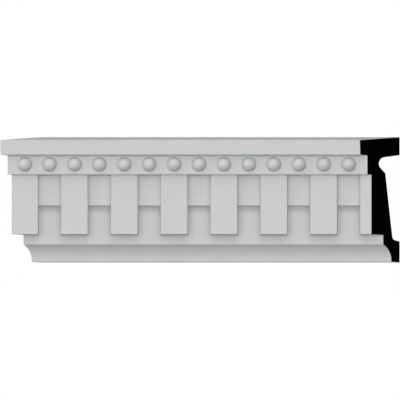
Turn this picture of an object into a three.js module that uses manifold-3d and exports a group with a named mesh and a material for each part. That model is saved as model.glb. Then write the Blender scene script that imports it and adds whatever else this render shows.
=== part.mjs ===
// A dentil dado rail: one moulded length of wall moulding with a top ledge, a band of beads, a row
// of dentils standing over a two-step back, a plain frieze and a cove, and a hollow back that leaves
// an upper and a lower face against the wall. Both ends are mitred the same way, so in plan the
// length is a parallelogram: an outside corner on the left and an inside corner on the right.
//
// Millimetres, +Z up. X runs along the rail, the wall is the plane y = 0, and the rail projects
// towards -Y. The origin is the centre of the lower wall face.

import * as THREE from "three";
import { mergeVertices } from "three/addons/utils/BufferGeometryUtils.js";
import Module from "manifold-3d";

// Length and mitres
const arrisLength = 360.8; // the length of every edge that runs from end to end
const mitreAngle = 45; // degrees away from a square cut

// Mould draft, in degrees: the top, the dentils' sides and the undersides of band and dentils lean by it
const draftAngle = 4.2;

// Members of the front, from the top down: how far each stands out from the wall, and its height
const ledgeProjection = 40;
const ledgeHeight = 14.7;
const ledgeLean = 0.5; // the ledge's front face runs back by this much towards its lower edge
const ledgeFall = 0.8; // the ledge's underside falls by this much towards the band
const bandProjection = 32.45;
const bandHeight = 19;
const dentilProjection = 28.4;
const dentilHeight = 59.65;
const upperPanelProjection = 22.5; // between the dentils, the upper part of the back
const upperPanelHeight = 30.8;
const stepRadius = 10; // the small cove that leads back from that panel to the lower one
const stepCrease = 15; // degrees, between that cove's lower end and the lower panel
const friezeProjection = 16.55; // the lower part of that back, and the plain frieze below it
const friezeHeight = 9.45;
const coveRadius = 19;
const footProjection = 8.45;
const footHeight = 1.75; // the upright strip under the cove
const footFall = 0.9; // the foot's underside falls by this much towards the wall

// Dentils and beads
const dentilPitch = 50;
const dentilWidth = 26.6; // across the front face
const dentilShift = 4.2; // from the middle of the wall face to the nearest dentil's centre line
const beadsPerDentil = 2;
const beadRadius = 7.4;
const beadRise = 6.4;
const beadLift = 0.8; // the bead row sits above the band's middle by this much

// Hollow back
const upperFaceHeight = 18.2;
const lowerFaceHeight = 21.3;
const roofSlope = 7.4; // degrees, down and away from the wall
const bayDepth = 20.8; // the deepest part of the hollow, under the ledge
const bayRadius = 6.5;
const baySlope = 47.8; // degrees, the bay's lower side
const webTopDepth = 14.3; // the hollow's depth where the bay's lower side meets the web
const webFootDepth = 7;
const footSlope = 14.6; // degrees, up and away from the wall
const footFillet = 4;

// Faceting
const curveSteps = 8; // straight pieces in each arc of the section
const beadSides = 24;
const beadRings = 6;

const radians = THREE.MathUtils.degToRad;
const draft = Math.tan(radians(draftAngle));

// Where a cove's arc starts, so that it runs back by a recess and ends a crease short of upright.
function coveStartAngle(radius, recess, crease) {
  return Math.acos(Math.cos(radians(crease)) - recess / radius);
}

// Heights of the front's edges, worked up from the lower wall face
const bottomBack = -lowerFaceHeight / 2;
const bottomFront = bottomBack + footFall;
const coveCentre = new THREE.Vector2(-footProjection - coveRadius, bottomFront + footHeight);
const coveStart = coveStartAngle(coveRadius, friezeProjection - footProjection, 0);
const friezeBottom = coveCentre.y + coveRadius * Math.sin(coveStart);
const friezeTop = friezeBottom + friezeHeight;
const dentilBottom = friezeTop + (dentilProjection - friezeProjection) * draft;
const dentilTop = dentilBottom + dentilHeight;
const stepStart = coveStartAngle(stepRadius, upperPanelProjection - friezeProjection, stepCrease);
const stepCentre = new THREE.Vector2(
  -friezeProjection - stepRadius * Math.cos(radians(stepCrease)),
  dentilTop - upperPanelHeight - stepRadius * Math.sin(stepStart),
);
const bandBottom = dentilTop + (bandProjection - dentilProjection) * draft;
const bandTop = bandBottom + bandHeight;
const ledgeBottom = bandTop + ledgeFall;
const ledgeTop = ledgeBottom + ledgeHeight;
const topBack = ledgeTop + ledgeProjection * draft;

// Rounds a corner of an outline with an arc that touches both of its sides.
function roundCorner(outline, before, corner, after, radius) {
  const toBefore = before.clone().sub(corner).normalize();
  const toAfter = after.clone().sub(corner).normalize();
  const halfAngle = toBefore.angleTo(toAfter) / 2;
  const middle = toBefore.clone().add(toAfter).normalize();
  const centre = corner.clone().addScaledVector(middle, radius / Math.sin(halfAngle));
  const touch = radius / Math.tan(halfAngle);
  const start = corner.clone().addScaledVector(toBefore, touch).sub(centre);
  const end = corner.clone().addScaledVector(toAfter, touch).sub(centre);
  const clockwise = start.cross(end) < 0;
  outline.absarc(centre.x, centre.y, radius, start.angle(), end.angle(), clockwise);
}

// The section between two dentils, as (y, z): anticlockwise from the wall's lower edge.
function railSection() {
  const outline = new THREE.Shape();
  outline.moveTo(0, bottomBack);

  // The hollow back: lower wall face, foot, web, bay and roof
  const footBack = new THREE.Vector2(0, bottomBack + lowerFaceHeight);
  const roofBack = new THREE.Vector2(0, topBack - upperFaceHeight);
  const footCorner = new THREE.Vector2(
    -webFootDepth,
    footBack.y + webFootDepth * Math.tan(radians(footSlope)),
  );
  const bayCentre = new THREE.Vector2(bayRadius - bayDepth, 0);
  bayCentre.y =
    roofBack.y + bayCentre.x * Math.tan(radians(roofSlope)) - bayRadius / Math.cos(radians(roofSlope));
  const bayRoof = radians(90 + roofSlope);
  const bayFloor = radians(270 - baySlope);
  const bayEnd = new THREE.Vector2(Math.cos(bayFloor), Math.sin(bayFloor))
    .multiplyScalar(bayRadius)
    .add(bayCentre);
  const webTop = new THREE.Vector2(
    -webTopDepth,
    bayEnd.y - (-webTopDepth - bayEnd.x) * Math.tan(radians(baySlope)),
  );
  outline.lineTo(footBack.x, footBack.y);
  roundCorner(outline, footBack, footCorner, webTop, footFillet);
  outline.lineTo(webTop.x, webTop.y);
  outline.absarc(bayCentre.x, bayCentre.y, bayRadius, bayFloor, bayRoof, true);
  outline.lineTo(roofBack.x, roofBack.y);
  outline.lineTo(0, topBack);

  // The front: ledge, band, the two panels behind the dentils, frieze, cove and foot
  outline.lineTo(-ledgeProjection, ledgeTop);
  outline.lineTo(-ledgeProjection + ledgeLean, ledgeBottom);
  outline.lineTo(-bandProjection, bandTop);
  outline.lineTo(-bandProjection, bandBottom);
  outline.lineTo(-upperPanelProjection, bandBottom - (bandProjection - upperPanelProjection) * draft);
  outline.absarc(stepCentre.x, stepCentre.y, stepRadius, stepStart, radians(stepCrease), true);
  outline.absarc(coveCentre.x, coveCentre.y, coveRadius, coveStart, 0, true);
  outline.lineTo(-footProjection, bottomFront);
  return outline;
}

// The side view of one dentil, from its front face to well inside the web and the band.
function dentilSection() {
  const inside = (webTopDepth + friezeProjection) / 2;
  const outline = new THREE.Shape();
  outline.moveTo(-dentilProjection, dentilBottom);
  outline.lineTo(-inside, dentilBottom - (dentilProjection - inside) * draft);
  outline.lineTo(-inside, bandBottom + (ledgeProjection - bandProjection) * draft);
  outline.lineTo(-dentilProjection, bandBottom + (ledgeProjection - bandProjection) * draft);
  return outline;
}

// Extrudes a (y, z) outline along X, centred on x = 0.
function extrudeAlongRail(outline, length) {
  const geometry = new THREE.ExtrudeGeometry(outline, {
    depth: length,
    bevelEnabled: false,
    curveSegments: curveSteps,
  });
  geometry.translate(0, 0, -length / 2);
  const alongX = new THREE.Matrix4().makeBasis(
    new THREE.Vector3(0, 1, 0),
    new THREE.Vector3(0, 0, 1),
    new THREE.Vector3(1, 0, 0),
  );
  return geometry.applyMatrix4(alongX);
}

// One dentil at x = 0, its sides spreading with the draft behind its front face.
function dentilBlock() {
  const geometry = extrudeAlongRail(dentilSection(), dentilWidth);
  const corners = geometry.attributes.position;
  for (let i = 0; i < corners.count; i++) {
    const behindFront = corners.getY(i) + dentilProjection;
    corners.setX(i, corners.getX(i) + Math.sign(corners.getX(i)) * behindFront * draft);
  }
  return geometry;
}

// One bead at the origin: a domed cap facing -Y, its rim on y = 0 and a short root behind it.
function beadCap() {
  const ballRadius = (beadRadius ** 2 + beadRise ** 2) / (2 * beadRise);
  const rimAngle = Math.acos((ballRadius - beadRise) / ballRadius);
  const rootDepth = beadRise / 4;
  const profile = [new THREE.Vector2(0, -rootDepth), new THREE.Vector2(beadRadius, -rootDepth)];
  for (let ring = 0; ring < beadRings; ring++) {
    const angle = rimAngle * (1 - ring / beadRings);
    const radius = ballRadius * Math.sin(angle);
    profile.push(new THREE.Vector2(radius, ballRadius * Math.cos(angle) - ballRadius + beadRise));
  }
  profile.push(new THREE.Vector2(0, beadRise));
  return new THREE.LatheGeometry(profile, beadSides).rotateX(Math.PI);
}

// Where the left and right mitres stand at a given distance out from the wall.
function mitreEnds(projection) {
  const shift = -projection * Math.tan(radians(mitreAngle));
  return { left: shift - arrisLength / 2, right: shift + arrisLength / 2 };
}

// Everything between the two mitre planes.
function mitreBlock() {
  const margin = ledgeProjection / 4;
  const front = ledgeProjection + margin;
  const plan = new THREE.Shape();
  plan.moveTo(mitreEnds(front).left, -front);
  plan.lineTo(mitreEnds(front).right, -front);
  plan.lineTo(mitreEnds(-margin).right, margin);
  plan.lineTo(mitreEnds(-margin).left, margin);
  const height = topBack - bottomBack + 2 * margin;
  const geometry = new THREE.ExtrudeGeometry(plan, { depth: height, bevelEnabled: false });
  return geometry.translate(0, 0, bottomBack - margin);
}

const wasm = await Module();
wasm.setup();

function toSolid(geometry) {
  const bare = geometry.clone().deleteAttribute("normal").deleteAttribute("uv");
  const merged = mergeVertices(bare, 1e-4);
  return new wasm.Manifold(
    new wasm.Mesh({
      numProp: 3,
      vertProperties: new Float32Array(merged.attributes.position.array),
      triVerts: new Uint32Array(merged.index.array),
    }),
  );
}

function toGeometry(solid) {
  const mesh = solid.getMesh();
  const geometry = new THREE.BufferGeometry();
  geometry.setAttribute("position", new THREE.BufferAttribute(mesh.vertProperties, 3));
  geometry.setIndex(new THREE.BufferAttribute(mesh.triVerts, 1));
  return geometry.toNonIndexed();
}

// Centre lines of a row of things one pitch apart, enough to pass both ends of the rail.
function rowCentres(pitch) {
  const reach = arrisLength / 2 + ledgeProjection * Math.tan(radians(mitreAngle));
  const each = Math.ceil((reach + Math.abs(dentilShift)) / pitch);
  return Array.from({ length: 2 * each + 1 }, (_, i) => dentilShift + (i - each) * pitch);
}

function buildRail() {
  const overLength = arrisLength + 4 * ledgeProjection * Math.tan(radians(mitreAngle)) + dentilPitch;
  let rail = toSolid(extrudeAlongRail(railSection(), overLength));

  const dentil = toSolid(dentilBlock());
  for (const x of rowCentres(dentilPitch)) {
    rail = rail.add(dentil.translate([x, 0, 0]));
  }

  // Only whole beads: one that a mitre would cut is left off.
  const bead = toSolid(beadCap());
  const beadHeight = (bandBottom + bandTop) / 2 + beadLift;
  const leftLimit = mitreEnds(bandProjection).left + beadRadius;
  const rightLimit = mitreEnds(bandProjection + beadRise).right - beadRadius;
  for (const x of rowCentres(dentilPitch / beadsPerDentil)) {
    if (x < leftLimit || x > rightLimit) continue;
    rail = rail.add(bead.translate([x, -bandProjection, beadHeight]));
  }

  return rail.intersect(toSolid(mitreBlock()));
}

const primedPaint = new THREE.MeshStandardMaterial({
  color: 0xc9ccc9,
  roughness: 0.6,
  metalness: 0,
});

const dadoRail = new THREE.Mesh(toGeometry(buildRail()), primedPaint);
dadoRail.name = "dentil_dado_rail";

const part = new THREE.Group();
part.add(dadoRail);

export default part;
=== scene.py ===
import math

import bmesh
import bpy
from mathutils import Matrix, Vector


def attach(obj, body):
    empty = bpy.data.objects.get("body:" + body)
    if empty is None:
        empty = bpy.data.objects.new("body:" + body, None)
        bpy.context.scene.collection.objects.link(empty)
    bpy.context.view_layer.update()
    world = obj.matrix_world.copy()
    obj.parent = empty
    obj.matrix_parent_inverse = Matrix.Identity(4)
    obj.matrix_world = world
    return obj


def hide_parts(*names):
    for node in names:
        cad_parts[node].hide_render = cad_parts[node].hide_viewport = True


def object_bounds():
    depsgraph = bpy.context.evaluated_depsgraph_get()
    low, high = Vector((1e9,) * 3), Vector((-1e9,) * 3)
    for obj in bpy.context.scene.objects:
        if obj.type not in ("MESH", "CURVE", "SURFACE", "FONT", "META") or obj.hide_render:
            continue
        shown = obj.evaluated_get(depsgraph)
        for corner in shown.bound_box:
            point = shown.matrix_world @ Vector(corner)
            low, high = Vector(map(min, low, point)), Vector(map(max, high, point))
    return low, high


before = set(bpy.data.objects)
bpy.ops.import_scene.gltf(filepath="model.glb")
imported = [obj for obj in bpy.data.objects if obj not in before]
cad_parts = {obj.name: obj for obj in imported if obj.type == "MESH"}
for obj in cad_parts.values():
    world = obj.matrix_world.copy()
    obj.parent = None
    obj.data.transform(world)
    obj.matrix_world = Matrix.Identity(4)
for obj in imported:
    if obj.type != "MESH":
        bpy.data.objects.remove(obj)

# The looks of a dentil dado rail: one moulded length with softened edges and round beads, primed in
# a pale grey, with its two mitred cut faces painted black. Metres, in the frame of the CAD model.

CAD_NODE = "dentil_dado_rail"
MM = 0.001

cad_low, cad_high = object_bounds()

# What the frame gives
LEDGE_PROJECTION = -cad_low.y
MITRE = math.radians(45)
ARRIS_LENGTH = cad_high.x - cad_low.x - LEDGE_PROJECTION * math.tan(MITRE)
TOP_BACK = cad_high.z
BOTTOM_BACK = cad_low.z

# Mould draft: the top, the dentils' sides and the undersides of band and dentils lean by it
DRAFT = math.tan(math.radians(4.2))

# Members of the front, from the top down
LEDGE_HEIGHT = 14.7 * MM
LEDGE_LEAN = 0.5 * MM
LEDGE_FALL = 0.8 * MM
BAND_PROJECTION = 32.45 * MM
BAND_HEIGHT = 19 * MM
DENTIL_PROJECTION = 28.4 * MM
DENTIL_HEIGHT = 59.65 * MM
UPPER_PANEL_PROJECTION = 22.5 * MM
UPPER_PANEL_HEIGHT = 30.8 * MM
STEP_RADIUS = 10 * MM
STEP_CREASE = math.radians(15)
FRIEZE_PROJECTION = 16.55 * MM
FRIEZE_HEIGHT = 9.45 * MM
COVE_RADIUS = 19 * MM
FOOT_PROJECTION = 8.45 * MM
FOOT_HEIGHT = 1.75 * MM
FOOT_FALL = 0.9 * MM

# Dentils and beads
DENTIL_PITCH = 50 * MM
DENTIL_WIDTH = 26.6 * MM
DENTIL_SHIFT = 4.2 * MM
BEADS_PER_DENTIL = 2
BEAD_RADIUS = 7.4 * MM
BEAD_RISE = 6.4 * MM
BEAD_LIFT = 0.8 * MM

# Hollow back
UPPER_FACE_HEIGHT = 18.2 * MM
LOWER_FACE_HEIGHT = 21.3 * MM
ROOF_SLOPE = math.radians(7.4)
BAY_DEPTH = 20.8 * MM
BAY_RADIUS = 6.5 * MM
BAY_SLOPE = math.radians(47.8)
WEB_TOP_DEPTH = 14.3 * MM
WEB_FOOT_DEPTH = 7 * MM
FOOT_SLOPE = math.radians(14.6)
FOOT_FILLET = 4 * MM

# Edges: how far the mould rounds them, and how far the saw leaves them
EDGE_ROUND = 0.35 * MM
SAWN_EDGE = 0.08 * MM
EDGE_STEPS = 3
CORNER_ANGLE = math.radians(20)
SMOOTH_ANGLE = math.radians(35)
FLAT_ANGLE = math.radians(0.05)
MERGE_DISTANCE = 0.001 * MM
SAME_DIRECTION = math.cos(math.radians(0.5))
LARGE_FACE_WEIGHT = 100

# Curves
ARC_STEPS = 28
FILLET_STEPS = 10
BEAD_SIDES = 64
BEAD_RINGS = 16


def cove_start(radius, recess, crease):
    """Where a cove's arc starts, so that it runs back by a recess and ends a crease short of upright."""
    return math.acos(math.cos(crease) - recess / radius)


COVE_START = cove_start(COVE_RADIUS, FRIEZE_PROJECTION - FOOT_PROJECTION, 0)
STEP_START = cove_start(STEP_RADIUS, UPPER_PANEL_PROJECTION - FRIEZE_PROJECTION, STEP_CREASE)


def section_heights():
    """Heights of the front's edges, worked up from the lower wall face."""
    z = {}
    z["bottom_front"] = BOTTOM_BACK + FOOT_FALL
    z["cove_centre"] = z["bottom_front"] + FOOT_HEIGHT
    z["frieze_bottom"] = z["cove_centre"] + COVE_RADIUS * math.sin(COVE_START)
    z["frieze_top"] = z["frieze_bottom"] + FRIEZE_HEIGHT
    z["dentil_bottom"] = z["frieze_top"] + (DENTIL_PROJECTION - FRIEZE_PROJECTION) * DRAFT
    z["dentil_top"] = z["dentil_bottom"] + DENTIL_HEIGHT
    z["step_centre"] = z["dentil_top"] - UPPER_PANEL_HEIGHT - STEP_RADIUS * math.sin(STEP_START)
    z["band_bottom"] = z["dentil_top"] + (BAND_PROJECTION - DENTIL_PROJECTION) * DRAFT
    z["band_top"] = z["band_bottom"] + BAND_HEIGHT
    z["ledge_bottom"] = z["band_top"] + LEDGE_FALL
    z["ledge_top"] = z["ledge_bottom"] + LEDGE_HEIGHT
    return z


Z = section_heights()


def arc(centre, radius, start, end, steps):
    """Points along an arc, both ends included."""
    points = []
    for i in range(steps + 1):
        angle = start + (end - start) * i / steps
        points.append(centre + radius * Vector((math.cos(angle), math.sin(angle))))
    return points


def rounded_corner(before, corner, after, radius, steps):
    """Points of the arc that rounds a corner and touches both of its sides."""
    to_before = (before - corner).normalized()
    to_after = (after - corner).normalized()
    half = to_before.angle(to_after) / 2
    centre = corner + (to_before + to_after).normalized() * radius / math.sin(half)
    touch = radius / math.tan(half)
    start = corner + to_before * touch - centre
    end = corner + to_after * touch - centre
    first = math.atan2(start.y, start.x)
    turn = (math.atan2(end.y, end.x) - first + math.pi) % (2 * math.pi) - math.pi
    return arc(centre, radius, first, first + turn, steps)


def hollow_back():
    """The back of the section as (y, z), from the wall's lower edge up to the wall's top edge."""
    foot_back = Vector((0, BOTTOM_BACK + LOWER_FACE_HEIGHT))
    roof_back = Vector((0, TOP_BACK - UPPER_FACE_HEIGHT))
    foot_corner = foot_back + WEB_FOOT_DEPTH * Vector((-1, math.tan(FOOT_SLOPE)))
    bay_y = BAY_RADIUS - BAY_DEPTH
    bay_z = roof_back.y + bay_y * math.tan(ROOF_SLOPE) - BAY_RADIUS / math.cos(ROOF_SLOPE)
    bay_floor = 1.5 * math.pi - BAY_SLOPE
    bay_roof = 0.5 * math.pi + ROOF_SLOPE
    bay = arc(Vector((bay_y, bay_z)), BAY_RADIUS, bay_floor, bay_roof, FILLET_STEPS * 2)
    web_top_z = bay[0].y + (WEB_TOP_DEPTH + bay[0].x) * math.tan(BAY_SLOPE)
    web_top = Vector((-WEB_TOP_DEPTH, web_top_z))
    fillet = rounded_corner(foot_back, foot_corner, web_top, FOOT_FILLET, FILLET_STEPS)
    return [Vector((0, BOTTOM_BACK)), foot_back, *fillet, web_top, *bay, roof_back, Vector((0, TOP_BACK))]


def rail_outline():
    """The section between two dentils as (y, z), anticlockwise."""
    band_back = (BAND_PROJECTION - UPPER_PANEL_PROJECTION) * DRAFT
    cove_centre = Vector((-FOOT_PROJECTION - COVE_RADIUS, Z["cove_centre"]))
    step_centre = Vector((-FRIEZE_PROJECTION - STEP_RADIUS * math.cos(STEP_CREASE), Z["step_centre"]))
    front = [
        Vector((-LEDGE_PROJECTION, Z["ledge_top"])),
        Vector((-LEDGE_PROJECTION + LEDGE_LEAN, Z["ledge_bottom"])),
        Vector((-BAND_PROJECTION, Z["band_top"])),
        Vector((-BAND_PROJECTION, Z["band_bottom"])),
        Vector((-UPPER_PANEL_PROJECTION, Z["band_bottom"] - band_back)),
    ]
    step = arc(step_centre, STEP_RADIUS, STEP_START, STEP_CREASE, FILLET_STEPS * 2)
    cove = arc(cove_centre, COVE_RADIUS, COVE_START, 0, ARC_STEPS)
    return [*hollow_back(), *front, *step, *cove, Vector((-FOOT_PROJECTION, Z["bottom_front"]))]


def dentil_outline():
    """The side view of one dentil as (y, z), from its front face to well inside the rail."""
    inside = (WEB_TOP_DEPTH + FRIEZE_PROJECTION) / 2
    top = Z["band_bottom"] + (LEDGE_PROJECTION - BAND_PROJECTION) * DRAFT
    return [
        Vector((-DENTIL_PROJECTION, Z["dentil_bottom"])),
        Vector((-inside, Z["dentil_bottom"] - (DENTIL_PROJECTION - inside) * DRAFT)),
        Vector((-inside, top)),
        Vector((-DENTIL_PROJECTION, top)),
    ]


def add_prism(bm, left, right):
    """A closed prism between two rings of points that match one to one."""
    left_ring = [bm.verts.new(p) for p in left]
    right_ring = [bm.verts.new(p) for p in right]
    bm.faces.new(left_ring)
    bm.faces.new(reversed(right_ring))
    for i in range(len(left_ring)):
        j = (i + 1) % len(left_ring)
        bm.faces.new((left_ring[j], left_ring[i], right_ring[i], right_ring[j]))


def mitre_ends(y):
    """Where the left and right mitres stand at a given y."""
    shift = y * math.tan(MITRE)
    return shift - ARRIS_LENGTH / 2, shift + ARRIS_LENGTH / 2


def row_centres(pitch):
    """Centre lines of a row of things one pitch apart, enough to pass both ends of the rail."""
    reach = ARRIS_LENGTH / 2 + LEDGE_PROJECTION * math.tan(MITRE) + abs(DENTIL_SHIFT)
    each = math.ceil(reach / pitch)
    return [DENTIL_SHIFT + i * pitch for i in range(-each, each + 1)]


def make_object(name, bm):
    """An object in the scene from a mesh in the making, its faces turned outwards."""
    bmesh.ops.recalc_face_normals(bm, faces=bm.faces)
    mesh = bpy.data.meshes.new(name)
    bm.to_mesh(mesh)
    bm.free()
    made = bpy.data.objects.new(name, mesh)
    bpy.context.scene.collection.objects.link(made)
    return made


def rail_blank():
    """The plain section, cut square well past both mitres."""
    bm = bmesh.new()
    reach = ARRIS_LENGTH / 2 + 2 * LEDGE_PROJECTION * math.tan(MITRE) + DENTIL_PITCH
    rings = [[Vector((x, p.x, p.y)) for p in rail_outline()] for x in (-reach, reach)]
    add_prism(bm, *rings)
    return make_object("rail_blank", bm)


def dentil_row():
    """Every dentil, its sides spreading with the draft behind its front face."""
    bm = bmesh.new()
    for x in row_centres(DENTIL_PITCH):
        rings = []
        for side in (-1, 1):
            ring = []
            for p in dentil_outline():
                half_width = DENTIL_WIDTH / 2 + (p.x + DENTIL_PROJECTION) * DRAFT
                ring.append(Vector((x + side * half_width, p.x, p.y)))
            rings.append(ring)
        add_prism(bm, *rings)
    return make_object("dentil_row", bm)


def mitre_block():
    """Everything between the two mitre planes."""
    margin = LEDGE_PROJECTION / 4
    front = -LEDGE_PROJECTION - margin
    back = margin
    top = TOP_BACK + margin
    bottom = BOTTOM_BACK - margin
    corners = ((back, bottom), (back, top), (front, top), (front, bottom))
    rings = [[Vector((mitre_ends(y)[end], y, z)) for y, z in corners] for end in (0, 1)]
    bm = bmesh.new()
    add_prism(bm, *rings)
    return make_object("mitre_block", bm)


def bead_profile():
    """Each ring of a bead as its radius and its y from the band's face, root first, then up the cap."""
    ball_radius = (BEAD_RADIUS**2 + BEAD_RISE**2) / (2 * BEAD_RISE)
    rim_angle = math.acos((ball_radius - BEAD_RISE) / ball_radius)
    root = BEAD_RISE / 4
    profile = [(BEAD_RADIUS, root)]
    for ring in range(BEAD_RINGS):
        angle = rim_angle * (1 - ring / BEAD_RINGS)
        profile.append((ball_radius * math.sin(angle), ball_radius * (1 - math.cos(angle)) - BEAD_RISE))
    return profile


def add_bead(bm, centre):
    """A domed cap that stands on the band round a centre, with its short root inside the band."""
    circles = []
    for radius, depth in bead_profile():
        circle = []
        for side in range(BEAD_SIDES):
            turn = 2 * math.pi * side / BEAD_SIDES
            offset = Vector((radius * math.cos(turn), depth, radius * math.sin(turn)))
            circle.append(bm.verts.new(centre + offset))
        circles.append(circle)
    crown = bm.verts.new(centre - Vector((0, BEAD_RISE, 0)))
    bm.faces.new(circles[0])
    for i in range(BEAD_SIDES):
        j = (i + 1) % BEAD_SIDES
        for lower, upper in zip(circles, circles[1:]):
            bm.faces.new((lower[i], lower[j], upper[j], upper[i]))
        bm.faces.new((circles[-1][i], circles[-1][j], crown))


def bead_row():
    """Every whole bead between the mitres."""
    z = (Z["band_bottom"] + Z["band_top"]) / 2 + BEAD_LIFT
    left_limit = mitre_ends(-BAND_PROJECTION)[0] + BEAD_RADIUS
    right_limit = mitre_ends(-BAND_PROJECTION - BEAD_RISE)[1] - BEAD_RADIUS
    bm = bmesh.new()
    for x in row_centres(DENTIL_PITCH / BEADS_PER_DENTIL):
        if left_limit <= x <= right_limit:
            add_bead(bm, Vector((x, -BAND_PROJECTION, z)))
    return make_object("bead_row", bm)


def combine(target, tool, operation):
    """Replaces the target's mesh by its union or intersection with the tool, and deletes the tool."""
    modifier = target.modifiers.new(operation, "BOOLEAN")
    modifier.object = tool
    modifier.operation = operation
    modifier.solver = "EXACT"
    bake_modifiers(target)
    bpy.data.objects.remove(tool)


def bake_modifiers(target):
    """Replaces the target's mesh by what its modifiers make of it."""
    depsgraph = bpy.context.evaluated_depsgraph_get()
    depsgraph.update()
    baked = bpy.data.meshes.new_from_object(target.evaluated_get(depsgraph))
    old = target.data
    target.modifiers.clear()
    target.data = baked
    bpy.data.meshes.remove(old)


def is_sawn(normal):
    """Whether a face with this normal lies in one of the two mitre planes."""
    return abs(normal.dot(Vector((math.cos(MITRE), -math.sin(MITRE), 0)))) > SAME_DIRECTION


def soften_edges(rail):
    """Rounds every moulded edge, inside corners too, and takes only the rag off a sawn edge."""
    bm = bmesh.new()
    bm.from_mesh(rail.data)
    bmesh.ops.remove_doubles(bm, verts=bm.verts, dist=MERGE_DISTANCE)
    bmesh.ops.dissolve_limit(bm, angle_limit=FLAT_ANGLE, verts=bm.verts, edges=bm.edges)
    weight = bm.edges.layers.float.new("bevel_weight_edge")
    for edge in bm.edges:
        if edge.calc_face_angle(0) < CORNER_ANGLE:
            continue
        sawn = any(is_sawn(face.normal) for face in edge.link_faces)
        edge[weight] = SAWN_EDGE / EDGE_ROUND if sawn else 1
    bm.to_mesh(rail.data)
    bm.free()
    bevel = rail.modifiers.new("edges", "BEVEL")
    bevel.limit_method = "WEIGHT"
    bevel.width = EDGE_ROUND
    bevel.segments = EDGE_STEPS
    bevel.use_clamp_overlap = False
    bake_modifiers(rail)


def smooth_faces(rail):
    """Smooth shading that keeps the large faces flat and the creases sharp."""
    bm = bmesh.new()
    bm.from_mesh(rail.data)
    for face in bm.faces:
        face.smooth = True
    for edge in bm.edges:
        edge.smooth = edge.calc_face_angle(0) < SMOOTH_ANGLE
    bm.to_mesh(rail.data)
    bm.free()
    weighted = rail.modifiers.new("shading", "WEIGHTED_NORMAL")
    weighted.keep_sharp = True
    weighted.weight = LARGE_FACE_WEIGHT
    bake_modifiers(rail)


def assign_materials(rail, paint, cut_paint):
    """Paints every face, and the two cut faces with a paint of their own."""
    rail.data.materials.clear()
    rail.data.materials.append(paint)
    rail.data.materials.append(cut_paint)
    for face in rail.data.polygons:
        face.material_index = 1 if is_sawn(face.normal) else 0


WHITE = (1, 1, 1, 1)

# Primer: its two tones and its range of roughness, the noises that vary them, and its orange peel
PRIMER_TONES = ((0.562, 0.581, 0.560, 1), (0.574, 0.593, 0.572, 1))
PRIMER_TONE_PLACES = (0.35, 0.65)
PRIMER_ROUGHNESS = {"To Min": 0.42, "To Max": 0.54}
PRIMER_SPECULAR = 0.5
PRIMER_MOTTLE = {"Scale": 70, "Detail": 4, "Roughness": 0.6}
PRIMER_GLOSS = {"Scale": 240, "Detail": 3}
PEEL = {"Scale": 900, "Detail": 2}
PEEL_BUMP = {"Strength": 0.15, "Distance": 0.02 * MM}

# Black of the cut faces: its two tones, and the saw's marks, stretched upright
CUT_TONES = ((0.0006, 0.0006, 0.0006, 1), (0.0016, 0.0016, 0.0016, 1))
CUT_TONE_PLACES = (0, 1)
CUT_ROUGHNESS = 1
CUT_SPECULAR = 0
CUT_MOTTLE = {"Scale": 300, "Detail": 3}
SAW_MARKS = {"Scale": 1500, "Detail": 2}
SAW_STRETCH = (1, 1, 0.05)
SAW_BUMP = {"Strength": 0.3, "Distance": 0.05 * MM}


def new_material(name):
    """A material, its node tree and its shader."""
    material = bpy.data.materials.new(name)
    material.use_nodes = True
    tree = material.node_tree
    return material, tree, tree.nodes["Principled BSDF"]


def add_node(tree, kind, values):
    """A node with some of its inputs set by name."""
    node = tree.nodes.new(kind)
    for name, value in values.items():
        node.inputs[name].default_value = value
    return node


def add_noise(tree, place, values):
    """A noise looked up by a place on the object."""
    noise = add_node(tree, "ShaderNodeTexNoise", values)
    tree.links.new(place, noise.inputs["Vector"])
    return noise.outputs["Fac"]


def colour_by(tree, shader, noise, tones, tone_places):
    """Varies the shader's colour between two tones by a noise."""
    ramp = tree.nodes.new("ShaderNodeValToRGB")
    for stop, tone, tone_place in zip(ramp.color_ramp.elements, tones, tone_places):
        stop.position = tone_place
        stop.color = tone
    tree.links.new(noise, ramp.inputs["Fac"])
    tree.links.new(ramp.outputs["Color"], shader.inputs["Base Color"])


def bump_by(tree, shader, noise, values):
    """Raises the surface by a noise."""
    bump = add_node(tree, "ShaderNodeBump", values)
    tree.links.new(noise, bump.inputs["Height"])
    tree.links.new(bump.outputs["Normal"], shader.inputs["Normal"])


def primed_paint():
    """Factory primer on a moulded face: pale grey, nearly matt, with a faint orange peel."""
    material, tree, shader = new_material("primed_paint")
    shader.inputs["Specular IOR Level"].default_value = PRIMER_SPECULAR
    place = tree.nodes.new("ShaderNodeTexCoord").outputs["Object"]
    mottle = add_noise(tree, place, PRIMER_MOTTLE)
    colour_by(tree, shader, mottle, PRIMER_TONES, PRIMER_TONE_PLACES)
    gloss = add_noise(tree, place, PRIMER_GLOSS)
    roughness = add_node(tree, "ShaderNodeMapRange", PRIMER_ROUGHNESS)
    tree.links.new(gloss, roughness.inputs["Value"])
    tree.links.new(roughness.outputs["Result"], shader.inputs["Roughness"])
    bump_by(tree, shader, add_noise(tree, place, PEEL), PEEL_BUMP)
    return material


def cut_face_paint():
    """Flat black over sawn foam: hardly any gloss, with the saw's fine upright marks."""
    material, tree, shader = new_material("cut_face")
    shader.inputs["Roughness"].default_value = CUT_ROUGHNESS
    shader.inputs["Specular IOR Level"].default_value = CUT_SPECULAR
    place = tree.nodes.new("ShaderNodeTexCoord").outputs["Object"]
    mottle = add_noise(tree, place, CUT_MOTTLE)
    colour_by(tree, shader, mottle, CUT_TONES, CUT_TONE_PLACES)
    stretch = add_node(tree, "ShaderNodeMapping", {"Scale": SAW_STRETCH})
    tree.links.new(place, stretch.inputs["Vector"])
    marks = add_noise(tree, stretch.outputs["Vector"], SAW_MARKS)
    bump_by(tree, shader, marks, SAW_BUMP)
    return material


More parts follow.
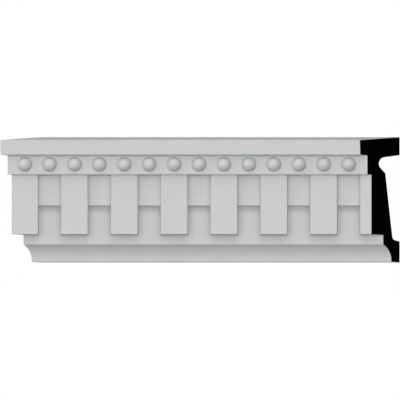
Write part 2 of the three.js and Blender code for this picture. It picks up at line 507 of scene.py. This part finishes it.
def make_rail():
    """The whole rail as one closed piece, in place of the CAD solid."""
    rail = rail_blank()
    combine(rail, dentil_row(), "UNION")
    combine(rail, mitre_block(), "INTERSECT")
    soften_edges(rail)
    combine(rail, bead_row(), "UNION")
    smooth_faces(rail)
    assign_materials(rail, primed_paint(), cut_face_paint())
    rail.name = "moulded_rail"
    rail.data.name = "moulded_rail"
    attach(rail, "root")
    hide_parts(CAD_NODE)


# Camera: square to the front, so it sees no perspective
FRAME_WIDTH = 401.2 * MM
FRAME_CENTRE = Vector((-19.86 * MM, 0, 52.2 * MM))
CAMERA_DISTANCE = 2
CAMERA_REACH = 20


def make_camera():
    """Looks along +Y, level, at the middle of the picture."""
    data = bpy.data.cameras.new("camera")
    data.type = "ORTHO"
    data.ortho_scale = FRAME_WIDTH
    data.clip_end = CAMERA_REACH
    camera = bpy.data.objects.new("camera", data)
    camera.location = FRAME_CENTRE + Vector((0, -CAMERA_DISTANCE, 0))
    camera.rotation_euler = (math.radians(90), 0, 0)
    bpy.context.scene.collection.objects.link(camera)
    bpy.context.scene.camera = camera


# Light: broad soft panels round the front, more of them on the left, one overhead and one behind.
# Each has a height and a turn from the camera's side, to the right, then a width, all in degrees.
LAMPS = {
    "front_left": {"height": 0, "turn": -25, "width": 40, "strength": 0.78},
    "front_right": {"height": 0, "turn": 25, "width": 60, "strength": 0.88},
    "front_high": {"height": 20, "turn": 0, "width": 60, "strength": 0.9},
    "side_left": {"height": 30, "turn": -75, "width": 60, "strength": 0.94},
    "side_low": {"height": -30, "turn": -75, "width": 40, "strength": 0.39},
    "overhead": {"height": 80, "turn": 0, "width": 60, "strength": 1.6},
    "behind": {"height": -20, "turn": 150, "width": 36, "strength": 2.4},
}
ROOM_STRENGTH = 0.01


def make_lamp(name, height, turn, width, strength):
    """One broad soft light from far away, so that it falls alike on the whole rail."""
    data = bpy.data.lights.new(name, "SUN")
    data.energy = strength
    data.angle = math.radians(width)
    lamp = bpy.data.objects.new(name, data)
    height = math.radians(height)
    turn = math.radians(turn)
    comes_from = Vector((
        math.sin(turn) * math.cos(height),
        -math.cos(turn) * math.cos(height),
        math.sin(height),
    ))
    lamp.rotation_mode = "QUATERNION"
    lamp.rotation_quaternion = comes_from.to_track_quat("Z", "Y")
    bpy.context.scene.collection.objects.link(lamp)


def make_room_light():
    """A room that looks white and hardly lights the rail."""
    world = bpy.data.worlds.new("room")
    world.use_nodes = True
    bpy.context.scene.world = world
    tree = world.node_tree
    seen = tree.nodes["Background"]
    seen.inputs["Color"].default_value = WHITE
    seen.inputs["Strength"].default_value = 1
    lit = add_node(tree, "ShaderNodeBackground", {"Color": WHITE, "Strength": ROOM_STRENGTH})
    path = tree.nodes.new("ShaderNodeLightPath")
    mix = tree.nodes.new("ShaderNodeMixShader")
    tree.links.new(path.outputs["Is Camera Ray"], mix.inputs[0])
    tree.links.new(lit.outputs[0], mix.inputs[1])
    tree.links.new(seen.outputs[0], mix.inputs[2])
    tree.links.new(mix.outputs[0], tree.nodes["World Output"].inputs["Surface"])


# Floor, as far down as a dado rail hangs: pale, and glowing a little so that it stays even
FLOOR_DROP = 900 * MM
FLOOR_SIZE = 40
FLOOR_COLOUR = (0.9, 0.9, 0.9, 1)
FLOOR_ROUGHNESS = 0.9
FLOOR_GLOW = 0.28


def make_floor():
    """A plain floor that is seen, but neither lights nor shades the rail."""
    bm = bmesh.new()
    bmesh.ops.create_grid(bm, x_segments=1, y_segments=1, size=FLOOR_SIZE / 2)
    floor = make_object("floor", bm)
    floor.location.z = BOTTOM_BACK - FLOOR_DROP
    floor.visible_diffuse = False
    floor.visible_shadow = False
    material, _, shader = new_material("floor")
    shader.inputs["Base Color"].default_value = FLOOR_COLOUR
    shader.inputs["Roughness"].default_value = FLOOR_ROUGHNESS
    shader.inputs["Emission Color"].default_value = WHITE
    shader.inputs["Emission Strength"].default_value = FLOOR_GLOW
    floor.data.materials.append(material)


make_rail()
make_camera()
for lamp_name, lamp_values in LAMPS.items():
    make_lamp(lamp_name, **lamp_values)
make_room_light()
make_floor()
bpy.context.scene.view_settings.view_transform = "Standard"
